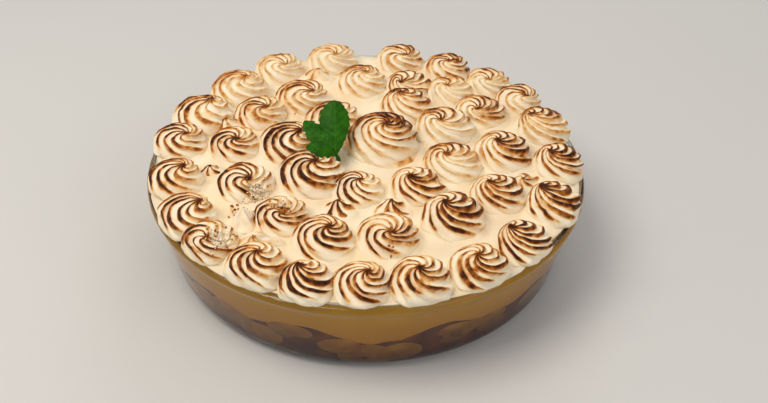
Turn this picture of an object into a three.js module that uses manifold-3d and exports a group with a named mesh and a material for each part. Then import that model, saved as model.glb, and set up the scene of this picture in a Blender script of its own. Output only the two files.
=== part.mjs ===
// Banana meringue pie, built in the clear glass dish it is served in.
// Caramelled banana lies at the bottom, custard over it, and a flat bed of meringue closes the top.
// Rings of piped meringue rosettes stand on the bed, with small dabs between them and a sprig of mint.
//
// Frame: millimetres, +Z up, origin at the centre of the dish's foot. The shown front looks along -Y.

import * as THREE from "three";
import { mergeVertices } from "three/addons/utils/BufferGeometryUtils.js";
import Module from "manifold-3d";

const wasm = await Module();
wasm.setup();

const degrees = THREE.MathUtils.degToRad;

// ---------------------------------------------------------------- driving dimensions

const rimRadius = 127; // outside of the rolled lip
const dishHeight = 54;
const footRadius = 104.5; // flat part of the base
const cornerRadius = 12; // outside, where the base turns up into the wall
const wallSlope = degrees(12.5); // outwards from upright
const glassWall = 4.5;
const dishSides = 32;
const sideSteps = 5; // rings up the side, close together round the corner

const gap = 0.3; // between one layer and the next, and between food and glass
const bananaLevel = 27.5; // mean height of the banana's top
const bananaWave = 3.5; // how far its top swings up and down
const custardTop = 49.5; // above the table
const bedTop = 55; // flat of the meringue bed, just above the lip
const bedEdgeDrop = 3.5; // how far the bed falls towards the glass
const bedEdgeWidth = 6; // over this last stretch

const ridgeCount = 8; // points of the star nozzle
const ridgeDepth = 0.2; // of a rosette's radius
const ridgeTwist = degrees(150); // turn of a ridge from foot to tip
const rosetteRise = 0.85; // height over the radius in the table
const footSpread = 1.12; // a foot spreads this far past the browned outline whose radius the table gives
const sideLean = 0.07; // how far a tip leans in, as a share of its distance to the side of the middle
const endLean = 0.02; // and the same for its distance to the front or the back
const goldenAngle = degrees(137.5); // turns each rosette's ridges differently from the last

const leafThickness = 0.8;
const leafSteps = 6; // along each edge
const leafScallops = 4;
const leafArch = 0.06; // of its length
const leafFold = 0.18; // fall of each half from the midrib, over its width
const stemRadius = 1.2;

// ---------------------------------------------------------------- where the rosettes stand

// Each place is a bearing in degrees, from +X towards +Y, a distance from the dish's middle, and a radius.
const rings = {
  outer: [
    [358.5, 112, 14.5], [18, 112, 15.5], [35, 114.5, 13.5], [48, 114, 14], [64, 114.5, 14], [80.5, 114, 14.5],
    [103, 113.5, 15], [121.5, 114, 14.5], [140, 108.5, 16.5], [159.5, 108.5, 16.5], [174, 112, 14.5],
    [193.5, 111, 14.5], [212, 113.5, 15], [225, 113.5, 14], [241.5, 113.5, 15], [256, 115, 13.5],
    [270, 111, 13.5], [285.5, 112, 15], [302, 114, 14.5], [318.5, 114, 14], [338, 113.5, 15],
  ],
  middle: [
    [4.5, 80, 16], [36, 85, 14.5], [55, 89.5, 14], [72.5, 84, 13.5], [94, 83, 14.5], [124, 75, 15.5],
    [147, 79.5, 14.5], [173, 79, 14], [203, 74, 15], [232, 73.5, 14], [254.5, 79, 15], [280, 74, 15.5],
    [311, 73.5, 16], [335, 81, 14.5],
  ],
  inner: [
    [66.5, 58, 15.5], [34, 56, 16.5], [354, 49.5, 15.5], [315, 41, 14.5], [263, 33, 13], [213, 37.5, 18],
    [167, 47.5, 16.5], [121, 41, 16.5],
  ],
  centre: [[57, 16.5, 24]],
  dab: [
    [190, 91, 6], [161.5, 91, 9.5], [287, 50.5, 9], [131, 66, 7], [110.5, 98, 8.5], [349, 94, 7.5],
    [236.5, 98.5, 10.5], [254, 50.5, 8],
  ],
};

// ---------------------------------------------------------------- geometry and solids

// A closed geometry as a solid that can be joined to others.
function solidOf(geometry) {
  const bare = geometry.clone().deleteAttribute("normal").deleteAttribute("uv");
  const merged = mergeVertices(bare.index ? bare.toNonIndexed() : bare, 1e-3);
  return new wasm.Manifold(new wasm.Mesh({
    numProp: 3,
    vertProperties: merged.attributes.position.array,
    triVerts: new Uint32Array(merged.index.array),
  }));
}

function geometryOf(solid) {
  const { vertProperties, triVerts } = solid.getMesh();
  return new THREE.BufferGeometry()
    .setAttribute("position", new THREE.BufferAttribute(new Float32Array(vertProperties), 3))
    .setIndex(new THREE.BufferAttribute(triVerts, 1));
}

// ---------------------------------------------------------------- the dish and the space inside it

// Radius of the dish's side at a height, taken in from the outside by inset.
function sideRadius(height, inset) {
  const corner = cornerRadius - inset;
  const cornerEnd = cornerRadius - corner * Math.sin(wallSlope);
  if (height < cornerEnd) {
    const below = cornerRadius - height;
    return footRadius + Math.sqrt(Math.max(0, corner * corner - below * below));
  }
  return footRadius + corner * Math.cos(wallSlope) + (height - cornerEnd) * Math.tan(wallSlope);
}

// Turns a profile of (radius, height) points, given from the lower end of the axis to the upper one.
function turned(points, sides) {
  const geometry = new THREE.LatheGeometry(points, sides);
  return geometry.rotateX(Math.PI / 2);
}

// Points up the side from one height to another, close together round the corner of the base.
function sidePoints(from, to, inset, steps) {
  return Array.from({ length: steps + 1 }, (_, i) => {
    const height = from + (to - from) * (i / steps) ** 2;
    return new THREE.Vector2(sideRadius(height, inset), height);
  });
}

const lipRadius = (rimRadius - sideRadius(dishHeight, glassWall)) / 2;

// The inside of the dish as the glass has it, or drawn in a little more.
function insidePoints(drawnIn) {
  return sidePoints(glassWall, dishHeight - lipRadius, glassWall, sideSteps)
    .map((point) => new THREE.Vector2(point.x - drawnIn, point.y + drawnIn));
}

function glassDish() {
  const lip = new THREE.Path().absarc(
    rimRadius - lipRadius, dishHeight - lipRadius, lipRadius, degrees(-35), degrees(180), false,
  );
  const profile = [
    new THREE.Vector2(0, 0),
    ...sidePoints(0, dishHeight - 2 * lipRadius + 1, 0, sideSteps),
    ...lip.getPoints(3),
    ...insidePoints(0).reverse().slice(1),
    new THREE.Vector2(0, glassWall),
  ];
  return turned(profile, dishSides);
}

// The space the food fills, a hair's breadth clear of the glass, and straight up past the lip to the bed's top.
function wellBody() {
  const points = insidePoints(gap);
  return solidOf(turned([
    new THREE.Vector2(0, glassWall + gap), ...points, new THREE.Vector2(points.at(-1).x, bedTop),
    new THREE.Vector2(0, bedTop),
  ], dishSides));
}

// ---------------------------------------------------------------- the layers

// The banana lies in lumps, so its top rises and falls round the dish and across it.
function bananaTop(x, y) {
  const bearing = Math.atan2(y, x);
  const far = Math.min(1, Math.hypot(x, y) / footRadius) ** 2;
  const roundTheSide = Math.sin(11 * bearing + 2.45) + 0.6 * Math.sin(7 * bearing + 2.7);
  const across = Math.sin(x / 19) * Math.cos(y / 23);
  return bananaLevel + bananaWave * (far * roundTheSide + (1 - far) * across);
}

// A round block wider than the dish, with the banana's lumpy top raised by lift.
function bananaBlock(lift) {
  const rows = [1, 0.82, 0.45].map((share) => new THREE.Vector2(rimRadius * share, bananaLevel));
  const geometry = turned([
    new THREE.Vector2(0, 0), new THREE.Vector2(rimRadius, 0), ...rows, new THREE.Vector2(0, bananaLevel),
  ], dishSides);
  const at = geometry.attributes.position;
  for (let i = 0; i < at.count; i++) {
    if (at.getZ(i) > 1) at.setZ(i, bananaTop(at.getX(i), at.getY(i)) + lift);
  }
  return solidOf(geometry);
}

// A round block between two heights, wider than the dish, its upper edge falling away by drop.
function slab(bottom, top, drop) {
  const fallFrom = sideRadius(dishHeight - lipRadius, glassWall) - bedEdgeWidth;
  return solidOf(turned([
    new THREE.Vector2(0, bottom), new THREE.Vector2(rimRadius, bottom),
    new THREE.Vector2(rimRadius, top - drop), new THREE.Vector2(fallFrom + bedEdgeWidth, top - drop),
    new THREE.Vector2(fallFrom, top), new THREE.Vector2(0, top),
  ], dishSides));
}

const bananaLayer = () => wellBody().intersect(bananaBlock(0));

const custardLayer = () => wellBody().intersect(slab(glassWall, custardTop, 0)).subtract(bananaBlock(gap));

const meringueBed = () => wellBody().intersect(slab(custardTop + gap, bedTop, bedEdgeDrop));

// ---------------------------------------------------------------- the piped meringue

// A rosette's outline from the middle of its foot to its tip, as shares of its radius and height.
const outlines = {
  rosette: [[0, 0], [1, 0], [0.95, 0.42], [0.65, 0.82], [0.2, 0.92], [0, 1]],
  centre: [[0, 0], [1, 0], [0.98, 0.15], [0.84, 0.22], [0.78, 0.52], [0.52, 0.82], [0.16, 0.93], [0, 1]],
  dab: [[0, 0], [1, 0], [0.62, 0.5], [0.22, 0.82], [0, 1]],
};

// A dome turned from its outline, fluted by the nozzle's points, twisted as it rises and leaned over.
function rosette(outline, radius, height, turn, lean) {
  const profile = outline.map(([r, z]) => new THREE.Vector2(r * radius, z * height));
  const geometry = turned(profile, 2 * ridgeCount);
  const at = geometry.attributes.position;
  for (let i = 0; i < at.count; i++) {
    const bearing = Math.atan2(at.getY(i), at.getX(i));
    const valley = (1 - Math.cos(ridgeCount * bearing)) / 2;
    const reach = Math.hypot(at.getX(i), at.getY(i)) * (1 - ridgeDepth * valley);
    const climb = at.getZ(i) / height;
    const swung = bearing + turn - ridgeTwist * climb * climb;
    const x = reach * Math.cos(swung) + lean.x * climb;
    const y = reach * Math.sin(swung) + lean.y * climb;
    at.setXYZ(i, x, y, at.getZ(i));
  }
  return geometry;
}

// Every place on the bed, with the node name that stands there.
const places = Object.entries(rings).flatMap(([ring, spots]) =>
  spots.map(([bearing, distance, radius], i) => ({
    ring,
    radius: ring === "centre" ? radius : radius * footSpread,
    height: radius * rosetteRise,
    name: ring === "dab" ? `dab_${i + 1}` : `rosette_${ring}_${i + 1}`,
    at: new THREE.Vector2(distance, 0).rotateAround(new THREE.Vector2(), degrees(bearing)),
  })),
);

// Where two of them meet, each is pressed flat along the line in which their circles cross.
function pressed(solid, place) {
  return places.filter((other) => other !== place).reduce((rest, other) => {
    const towards = new THREE.Vector2().subVectors(other.at, place.at);
    const apart = towards.length();
    if (apart > place.radius + other.radius + gap) return rest;
    const reach = (apart ** 2 + place.radius ** 2 - other.radius ** 2) / (2 * apart) - gap / 2;
    const out = towards.divideScalar(apart);
    return rest.trimByPlane([-out.x, -out.y, 0], -(place.at.dot(out) + reach));
  }, solid);
}

// The tips lean in towards the middle of the pie, most of all from its sides. The dabs stand straight.
function pipedMeringue(place, i) {
  const lean = new THREE.Vector2(-sideLean * place.at.x, -endLean * place.at.y);
  if (place.ring === "dab") lean.set(0, 0);
  const outline = outlines[place.ring] ?? outlines.rosette;
  const geometry = rosette(outline, place.radius, place.height, i * goldenAngle, lean);
  return pressed(solidOf(geometry).translate(place.at.x, place.at.y, bedTop), place);
}

// ---------------------------------------------------------------- the mint

// One leaf lying along +X from its stalk, with a scalloped edge, domed across its midrib.
// fullness above 1 moves its widest part towards the tip.
function leaf(length, width, fullness) {
  const edge = (side) => Array.from({ length: leafSteps + 1 }, (_, i) => {
    const share = 0.04 + 0.94 * (i / leafSteps);
    const plump = Math.sin(Math.PI * share ** fullness) ** 0.6;
    const scallop = 1 - 0.1 * Math.abs(Math.cos(Math.PI * leafScallops * share));
    return new THREE.Vector2(share * length, side * (width / 2) * plump * scallop);
  });
  const outline = [...edge(-1), ...edge(1).reverse()];
  const geometry = new THREE.ExtrudeGeometry(new THREE.Shape(outline), {
    depth: leafThickness, bevelEnabled: false,
  });
  const at = geometry.attributes.position;
  for (let i = 0; i < at.count; i++) {
    const arch = leafArch * length * Math.sin((Math.PI * at.getX(i)) / length);
    at.setZ(i, at.getZ(i) + arch - leafFold * Math.abs(at.getY(i)));
  }
  return geometry;
}

// Stands a leaf on its stalk end at from, with its tip at to and its face turned towards facing.
function placedLeaf(from, to, width, fullness, facing) {
  const along = new THREE.Vector3().subVectors(to, from);
  const length = along.length();
  const forward = along.normalize();
  const across = new THREE.Vector3().crossVectors(facing, forward).normalize();
  const normal = new THREE.Vector3().crossVectors(forward, across);
  const stand = new THREE.Matrix4().makeBasis(forward, across, normal).setPosition(from);
  return leaf(length, width, fullness).applyMatrix4(stand);
}

// A stalk along a gentle curve between points.
function stalk(points, radius) {
  const section = new THREE.Shape().absarc(0, 0, radius, 0, 2 * Math.PI, false);
  return new THREE.ExtrudeGeometry(section, {
    extrudePath: new THREE.CatmullRomCurve3(points), steps: 3, curveSegments: 3, bevelEnabled: false,
  });
}

// The sprig is stuck in where a rosette meets the centre one: a broad leaf, with two small ones to its left.
function mintSprig() {
  const foot = new THREE.Vector3(-16, -3.5, bedTop + 2 * gap);
  const fork = new THREE.Vector3(-17.5, -6, bedTop + 9);
  const facing = new THREE.Vector3(0, -0.7, 0.7);
  const upwards = new THREE.Vector3(0, -0.3, 0.95);
  const leaves = [
    { from: [-17.8, -7.5, 11], to: [-19.8, 15.5, 31], width: 18.5, fullness: 1.35, facing },
    { from: [-19.5, -7, 13.5], to: [-36.4, 8, 20.5], width: 11, fullness: 1, facing },
    { from: [-19, -9.5, 13], to: [-33.2, -13.5, 18.5], width: 10.5, fullness: 1, facing: upwards },
  ];
  const body = leaves.reduce((all, one) => {
    const base = new THREE.Vector3(...one.from).setZ(bedTop + one.from[2]);
    const tip = new THREE.Vector3(...one.to).setZ(bedTop + one.to[2]);
    const intoLeaf = base.clone().lerp(tip, 0.25);
    return all
      .add(solidOf(stalk([fork, base, intoLeaf], stemRadius / 2)))
      .add(solidOf(placedLeaf(base, tip, one.width, one.fullness, one.facing)));
  }, solidOf(stalk([foot, foot.clone().lerp(fork, 0.5), fork], stemRadius)));
  return geometryOf(body);
}

// ---------------------------------------------------------------- materials and the finished pie

const finishes = {
  glass: { color: 0xdfe8e4, roughness: 0.03, metalness: 0, transparent: true, opacity: 0.3 },
  banana: { color: 0x9a5a1e, roughness: 0.35, metalness: 0 },
  custard: { color: 0xe6c46f, roughness: 0.45, metalness: 0 },
  meringue: { color: 0xfaecd2, roughness: 0.7, metalness: 0 },
  toasted: { color: 0xe9c391, roughness: 0.7, metalness: 0 },
  mint: { color: 0x2f7a1e, roughness: 0.5, metalness: 0 },
};

function piece(name, geometry, finish) {
  const mesh = new THREE.Mesh(geometry, new THREE.MeshStandardMaterial(finishes[finish]));
  mesh.name = name;
  return mesh;
}

const pie = new THREE.Group();
pie.add(
  piece("glass_dish", glassDish(), "glass"),
  piece("banana_layer", geometryOf(bananaLayer()), "banana"),
  piece("custard_layer", geometryOf(custardLayer()), "custard"),
  piece("meringue_bed", geometryOf(meringueBed()), "meringue"),
  piece("mint_sprig", mintSprig(), "mint"),
);

for (const [i, place] of places.entries()) {
  pie.add(piece(place.name, geometryOf(pipedMeringue(place, i)), "toasted"));
}

export default pie;
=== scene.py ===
# %% [markdown]
# # A banana meringue pie in its glass dish
# This notebook dresses a finished frame: the frame says where every piece stands, and the cells below
# give each piece its fine surface and its finish. It goes from the camera and the materials to the glass
# dish, then up through banana, custard and meringue to the piped rosettes, the crumbs and the sprig on top.

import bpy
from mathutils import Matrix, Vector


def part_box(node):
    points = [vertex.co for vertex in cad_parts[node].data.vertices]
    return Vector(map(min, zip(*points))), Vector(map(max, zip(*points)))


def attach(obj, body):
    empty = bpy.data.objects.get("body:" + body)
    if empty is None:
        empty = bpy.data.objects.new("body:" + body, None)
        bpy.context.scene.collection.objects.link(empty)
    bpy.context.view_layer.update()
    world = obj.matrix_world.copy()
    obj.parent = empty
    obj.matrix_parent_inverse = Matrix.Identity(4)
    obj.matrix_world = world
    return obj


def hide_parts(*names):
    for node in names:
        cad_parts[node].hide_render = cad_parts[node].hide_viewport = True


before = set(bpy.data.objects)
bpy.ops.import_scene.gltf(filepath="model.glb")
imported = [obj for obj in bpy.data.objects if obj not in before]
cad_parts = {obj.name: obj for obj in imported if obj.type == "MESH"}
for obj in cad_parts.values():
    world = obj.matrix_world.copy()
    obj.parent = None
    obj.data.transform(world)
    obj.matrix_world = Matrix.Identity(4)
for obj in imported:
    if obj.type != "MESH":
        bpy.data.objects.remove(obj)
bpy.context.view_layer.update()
print("nodes in the frame:", len(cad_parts))

# %% Libraries and units
import math

import bpy
import numpy as np
from mathutils import Matrix, Vector, noise

MM = 0.001  # lengths are written in millimetres and times this
TURN = 2 * math.pi
print("a millimetre is", MM, "m, a full turn", round(TURN, 4), "radians")


# %% [markdown]
# ## Two small helpers
# Every material and every geometry tree below is built from nodes. One helper adds a node, sets it and
# links it in a single call; the other turns the sRGB hex colours that people write into linear values,
# which is what the shaders expect.

# %% Helpers for nodes and colours
def add_node(tree, kind, links=None, **settings):
    """Adds a node. links maps an input's name or number to a value, a socket or another node."""
    node = tree.nodes.new(kind)
    for name, value in settings.items():
        setattr(node, name, value)
    for key, value in (links or {}).items():
        if isinstance(value, bpy.types.Node):
            value = value.outputs[0]
        if isinstance(value, bpy.types.NodeSocket):
            tree.links.new(value, node.inputs[key])
        else:
            node.inputs[key].default_value = value
    return node


def tone(code):
    """A colour from sRGB hex to linear red, green, blue and a full alpha."""
    shares = [int(code[i:i + 2], 16) / 255 for i in (1, 3, 5)]
    return (*[s / 12.92 if s <= 0.04045 else ((s + 0.055) / 1.055) ** 2.4 for s in shares], 1.0)


MATH = "ShaderNodeMath"
VECTOR_MATH = "ShaderNodeVectorMath"
print("cream in linear values:", [round(share, 3) for share in tone("#F8E9CC")])


# %% [markdown]
# ## Camera
# The view looks down on the pie at about 37 degrees with a slight roll, from a little over half a metre.
# A camera is aimed by building its three axes from those angles, because a roll is then one more turn.

# %% Camera
frame_width, sensor_width, focal_length = 768, 36.0, 1080  # pixels, millimetres, pixels
look_down, roll = math.radians(37.49), math.radians(1.27)
aim, distance = Vector((10.6, 33.0, 0)) * MM, 692.9 * MM

back = Vector((0, -math.cos(look_down), math.sin(look_down)))
level_up = Vector((0, math.sin(look_down), math.cos(look_down)))
level_right = Vector((1, 0, 0))
right = math.cos(roll) * level_right + math.sin(roll) * level_up
up = math.cos(roll) * level_up - math.sin(roll) * level_right

lens = bpy.data.cameras.new("photo_view")
lens.sensor_width = sensor_width
lens.lens = focal_length / frame_width * sensor_width
lens.clip_start, lens.clip_end = 0.01, 20
camera = bpy.data.objects.new("photo_view", lens)
turned_view = Matrix((right, up, back)).transposed().to_4x4()
camera.matrix_world = Matrix.Translation(aim + back * distance) @ turned_view
bpy.context.scene.collection.objects.link(camera)
bpy.context.scene.camera = camera
print("camera at", [round(c / MM) for c in camera.location], "mm")

# %% [markdown]
# ## Studio
# A plain pale floor of matt paint runs past the edge of every view. One large soft lamp hangs high on the
# left, a little before the pie, so the piped ridges throw short shadows to the right; weaker ones fill from
# the right and from behind, and a pale world keeps the glass from going black.

# %% Floor
floor_size = 12.0  # metres
floor_mesh = bpy.data.meshes.new("studio_floor")
half = floor_size / 2
corners = [(-half, -half, 0), (half, -half, 0), (half, half, 0), (-half, half, 0)]
floor_mesh.from_pydata(corners, [], [(0, 1, 2, 3)])
floor = bpy.data.objects.new("studio_floor", floor_mesh)
bpy.context.scene.collection.objects.link(floor)
floor_paint = bpy.data.materials.new("matt_floor_paint")
floor_paint.use_nodes = True
floor_surface = floor_paint.node_tree.nodes["Principled BSDF"]
floor_grain = add_node(floor_paint.node_tree, "ShaderNodeTexNoise", {"Scale": 6.0, "Detail": 3.0})
floor_blend = add_node(floor_paint.node_tree, "ShaderNodeMix", {
    0: floor_grain, 6: tone("#CFCBC4"), 7: tone("#D6D2CB")}, data_type="RGBA")
floor_paint.node_tree.links.new(floor_blend.outputs[2], floor_surface.inputs["Base Color"])
floor_surface.inputs["Roughness"].default_value = 0.9
floor_mesh.materials.append(floor_paint)
print("floor:", floor_size, "m wide, of", floor_paint.name)

# %% Lights
lamps = [  # name, place and aim in metres, width in metres, watts, colour
    ("key_softbox", (-0.5, -0.25, 1.1), (0.0, 0.0, 0.05), 0.7, 8.9, "#FFFBF4"),
    ("fill_softbox", (0.8, -0.8, 0.8), (0.0, 0.0, 0.05), 0.9, 3.0, "#F6F8FF"),
    ("back_softbox", (0.3, 1.1, 0.8), (0.0, 0.0, 0.05), 0.8, 3.0, "#FFFFFF"),
]
for name, place, towards, width, watts, colour in lamps:
    lamp = bpy.data.lights.new(name, "AREA")
    lamp.shape = "SQUARE"
    lamp.size = width
    lamp.energy = watts
    lamp.color = tone(colour)[:3]
    stand = bpy.data.objects.new(name, lamp)
    stand.location = place
    stand.rotation_euler = (Vector(towards) - Vector(place)).to_track_quat("-Z", "Y").to_euler()
    bpy.context.scene.collection.objects.link(stand)

world = bpy.data.worlds.new("pale_studio")
world.use_nodes = True
world.node_tree.nodes["Background"].inputs["Color"].default_value = tone("#E8EAEE")
world.node_tree.nodes["Background"].inputs["Strength"].default_value = 0.5
bpy.context.scene.world = world
bpy.context.scene.view_settings.view_transform = "Standard"
print("lamps:", [entry[0] for entry in lamps])


# %% [markdown]
# ## Materials
# Each finish starts from what the real thing is and how its surface came about. Two helpers come first: one
# makes an empty material, the other gives a colour ramp its stops. Every pattern is scaled by a real size
# in millimetres and read at the piece's own Object coordinates, so it stays on the piece in every view.

# %% A blank material
def blank_material(name, roughness):
    """A new material with its tree and its Principled shader."""
    material = bpy.data.materials.new(name)
    material.use_nodes = True
    surface = material.node_tree.nodes["Principled BSDF"]
    surface.inputs["Roughness"].default_value = roughness
    return material, material.node_tree, surface


def set_stops(ramp, stops):
    """Gives a colour ramp its stops, as (place, hex colour)."""
    elements = ramp.color_ramp.elements
    while len(elements) < len(stops):
        elements.new(0.5)
    for element, (place, code) in zip(elements, stops):
        element.position = place
        element.color = tone(code)


# %% [markdown]
# ### Baked meringue
# Meringue is a foam of egg white and sugar, dried in the oven: matt, pale cream and full of fine pores.
# Where it stood proud, its sugar turned to caramel, from straw through amber to nearly black, and shines a
# little there. The browning could follow height or slope, but a ridge browns by where it lies on its own
# rosette. So the mesh stores the heat as an attribute, one ramp turns heat into colour, and a single
# material serves every rosette.

# %% Meringue: dried egg-white foam, toasted where it stands proud
toast_colours = [  # from unbrowned foam to scorched sugar
    (0.0, "#F8E9CC"), (0.16, "#F1D6A6"), (0.32, "#DDA660"), (0.48, "#B06A26"),
    (0.66, "#80400E"), (0.84, "#522608"), (1.0, "#321505"),
]
pore_size, grit_size, mottle_size, blush_size = 0.7 * MM, 1.3 * MM, 2.6 * MM, 22 * MM

meringue, tree, surface = blank_material("baked_meringue", 0.62)
spot = add_node(tree, "ShaderNodeTexCoord").outputs["Object"]
toast = add_node(tree, "ShaderNodeAttribute", attribute_name="toast").outputs["Fac"]
mottle = add_node(tree, "ShaderNodeTexNoise", {"Vector": spot, "Scale": 1 / mottle_size, "Detail": 4.0})
uneven = add_node(tree, "ShaderNodeMapRange", {0: mottle, 1: 0.3, 2: 0.7, 3: 0.72, 4: 1.22})
heat = add_node(tree, MATH, {0: toast, 1: uneven}, operation="MULTIPLY", use_clamp=True)
broken = add_node(tree, "ShaderNodeAttribute", attribute_name="broken").outputs["Fac"]
grit = add_node(tree, "ShaderNodeTexNoise", {"Vector": spot, "Scale": 1 / grit_size, "Detail": 1.0})
# burnt bits among the rubble where the crust is broken
specks = add_node(tree, "ShaderNodeMapRange", {0: grit, 1: 0.6, 2: 0.66, 3: 0.0, 4: 0.8})
speck_share = add_node(tree, MATH, {0: specks, 1: broken}, operation="MULTIPLY")
heat = add_node(tree, MATH, {0: heat, 1: speck_share}, operation="MAXIMUM")
browning = add_node(tree, "ShaderNodeValToRGB", {"Fac": heat})
set_stops(browning, toast_colours)
blush = add_node(tree, "ShaderNodeTexNoise", {"Vector": spot, "Scale": 1 / blush_size, "Detail": 2.0})
blush_share = add_node(tree, "ShaderNodeMapRange", {0: blush, 1: 0.42, 2: 0.68, 3: 0.0, 4: 0.25})
foam = add_node(
    tree, "ShaderNodeMix", {0: blush_share, 6: browning, 7: tone("#F2D8C2")},
    data_type="RGBA", blend_type="MULTIPLY")
tree.links.new(foam.outputs[2], surface.inputs["Base Color"])
pores = add_node(tree, "ShaderNodeTexNoise", {
    "Vector": spot, "Scale": 1 / pore_size, "Detail": 3.0, "Roughness": 0.6})
relief = add_node(tree, "ShaderNodeBump", {"Height": pores, "Strength": 0.35, "Distance": 0.25 * MM})
tree.links.new(relief.outputs[0], surface.inputs["Normal"])
# scorched sugar shines
dryness = add_node(tree, "ShaderNodeMapRange", {0: heat, 1: 0.2, 2: 0.8, 3: 0.68, 4: 0.42})
tree.links.new(dryness.outputs[0], surface.inputs["Roughness"])
surface.inputs["Subsurface Weight"].default_value = 0.12
surface.inputs["Subsurface Radius"].default_value = (1.0, 0.7, 0.45)
surface.inputs["Subsurface Scale"].default_value = 2.5 * MM
surface.inputs["Specular IOR Level"].default_value = 0.15
print(meringue.name, len(tree.nodes), "nodes")

# %% [markdown]
# ### Custard
# Custard sets into a dense, moist paste with the yellow of egg yolk, darker low down, where it stands in
# the caramel. One plain colour would look like plastic, so a slow cloud of noise is added to the height
# before a ramp reads it. The paste wets the glass, so nothing glints between the two, and its own gloss is
# almost nil.

# %% Custard: set yolk cream, moist against the glass
cloud_size, cloud_swing, curd_size = 18 * MM, 16 * MM, 1.5 * MM
darkest_level, palest_level = 16 * MM, 62 * MM  # heights in the dish
custard_paste, tree, surface = blank_material("set_custard", 0.38)
spot = add_node(tree, "ShaderNodeTexCoord").outputs["Object"]
height = add_node(tree, "ShaderNodeSeparateXYZ", {0: spot}).outputs["Z"]
cloud = add_node(tree, "ShaderNodeTexNoise", {"Vector": spot, "Scale": 1 / cloud_size, "Detail": 3.0})
drift = add_node(tree, MATH, {0: cloud, 1: cloud_swing, 2: height}, operation="MULTIPLY_ADD")
depth_share = add_node(tree, "ShaderNodeMapRange", {0: drift, 1: darkest_level, 2: palest_level})
custard_tint = add_node(tree, "ShaderNodeValToRGB", {"Fac": depth_share})
set_stops(custard_tint, [(0.0, "#BC720A"), (0.35, "#D68E0C"), (0.75, "#DE9E16"), (1.0, "#E2AC2C")])
tree.links.new(custard_tint.outputs[0], surface.inputs["Base Color"])
surface.inputs["Specular IOR Level"].default_value = 0.04
curds = add_node(tree, "ShaderNodeTexNoise", {"Vector": spot, "Scale": 1 / curd_size, "Detail": 2.0})
relief = add_node(tree, "ShaderNodeBump", {"Height": curds, "Strength": 0.15, "Distance": 0.2 * MM})
tree.links.new(relief.outputs[0], surface.inputs["Normal"])
print(custard_paste.name, len(tree.nodes), "nodes")

# %% [markdown]
# ### Banana in caramel
# Banana fried in sugar is soft and fibrous, amber where it is fresh and brown where syrup has soaked in.
# The syrup is burnt sugar, almost black in depth. They are two materials: the syrup has slow streaks, and
# the flesh blends towards dark brown by an attribute that says how far each point has soaked.

# %% Caramel syrup: burnt sugar, streaked
swirl_size = 14 * MM
syrup, tree, surface = blank_material("caramel_syrup", 0.22)
spot = add_node(tree, "ShaderNodeTexCoord").outputs["Object"]
swirl = add_node(tree, "ShaderNodeTexNoise", {
    "Vector": spot, "Scale": 1 / swirl_size, "Detail": 4.0, "Distortion": 0.6})
syrup_tint = add_node(tree, "ShaderNodeValToRGB", {"Fac": swirl})
set_stops(syrup_tint, [(0.3, "#461402"), (0.5, "#622404"), (0.7, "#803A08")])
tree.links.new(syrup_tint.outputs[0], surface.inputs["Base Color"])
surface.inputs["Specular IOR Level"].default_value = 0.04
print(syrup.name, len(tree.nodes), "nodes")

# %% Banana flesh: soft fibres, soaked from below
soak_size, fibre_size = 9 * MM, 1.2 * MM
banana_flesh, tree, surface = blank_material("caramelled_banana", 0.32)
spot = add_node(tree, "ShaderNodeTexCoord").outputs["Object"]
soak = add_node(tree, "ShaderNodeTexNoise", {"Vector": spot, "Scale": 1 / soak_size, "Detail": 4.0})
soak_tint = add_node(tree, "ShaderNodeValToRGB", {"Fac": soak})
set_stops(soak_tint, [(0.3, "#A0600C"), (0.5, "#B87616"), (0.72, "#CA8E24")])
steeped = add_node(tree, "ShaderNodeAttribute", attribute_name="steeped").outputs["Fac"]
flesh_tint = add_node(tree, "ShaderNodeMix", {
    0: steeped, 6: soak_tint, 7: tone("#4E2106")}, data_type="RGBA")
tree.links.new(flesh_tint.outputs[2], surface.inputs["Base Color"])
surface.inputs["Specular IOR Level"].default_value = 0.04
fibres = add_node(tree, "ShaderNodeTexNoise", {"Vector": spot, "Scale": 1 / fibre_size, "Detail": 2.0})
relief = add_node(tree, "ShaderNodeBump", {"Height": fibres, "Strength": 0.2, "Distance": 0.2 * MM})
tree.links.new(relief.outputs[0], surface.inputs["Normal"])
print(banana_flesh.name, len(tree.nodes), "nodes")

# %% [markdown]
# ### Pressed glass
# The dish is heat-proof borosilicate glass, pressed in a mould and fire-polished: clear, smooth and very
# faintly green. A moulded surface is never quite even and bends what lies behind it a little, so a slow,
# shallow bump stands in for that ripple. Full transmission, no roughness and the glass's IOR do the rest.

# %% Dish glass: clear, with a faint green in its thickness
ripple_size = 26 * MM
dish_glass, tree, surface = blank_material("pressed_glass", 0.0)
surface.inputs["Base Color"].default_value = tone("#F3F8F4")
surface.inputs["Transmission Weight"].default_value = 1.0
surface.inputs["IOR"].default_value = 1.47
spot = add_node(tree, "ShaderNodeTexCoord").outputs["Object"]
ripple = add_node(tree, "ShaderNodeTexNoise", {"Vector": spot, "Scale": 1 / ripple_size, "Detail": 1.0})
relief = add_node(tree, "ShaderNodeBump", {"Height": ripple, "Strength": 0.12, "Distance": 0.6 * MM})
tree.links.new(relief.outputs[0], surface.inputs["Normal"])
print(dish_glass.name, len(tree.nodes), "nodes")

# %% [markdown]
# ### Mint leaf
# A mint leaf is dark green, waxy and finely hairy, with a net of paler veins. The veins are stored on the
# mesh as an attribute, because they follow the leaf and not space, and noise only mottles the blade between
# them. A little light passes through the thin tissue, which a short subsurface radius gives.

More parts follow.
